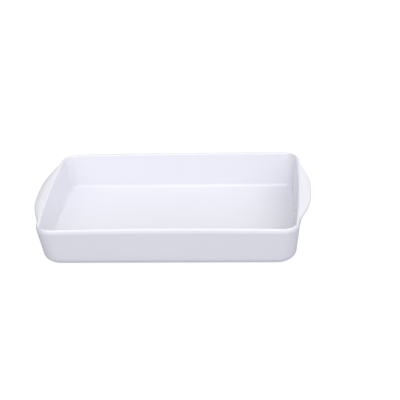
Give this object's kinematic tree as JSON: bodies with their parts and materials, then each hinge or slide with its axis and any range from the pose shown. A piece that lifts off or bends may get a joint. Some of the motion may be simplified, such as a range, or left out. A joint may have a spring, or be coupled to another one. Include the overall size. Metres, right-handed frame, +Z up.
{
  "type": "lasagna dish",
  "caption": "Rectangular white glazed ceramic lasagna dish with leaning walls, softly bowed ends, a rolled rim and a wave-shaped lug handle on each short end.",
  "frame": {"origin": "middle of the footprint, on the surface that the dish stands on", "axes": "+X along the length from the left handle to the right one, +Y along the width to the back, +Z up"},
  "size_m": [0.368, 0.2204, 0.057],
  "materials": {
    "glaze": "glossy white glaze",
    "bare_clay": "matt, unglazed"
  },
  "bodies": {
    "root": {"basin": "glaze", "left_handle": "glaze", "right_handle": "glaze", "foot_ring": "bare_clay"}
  },
  "joints": []
}
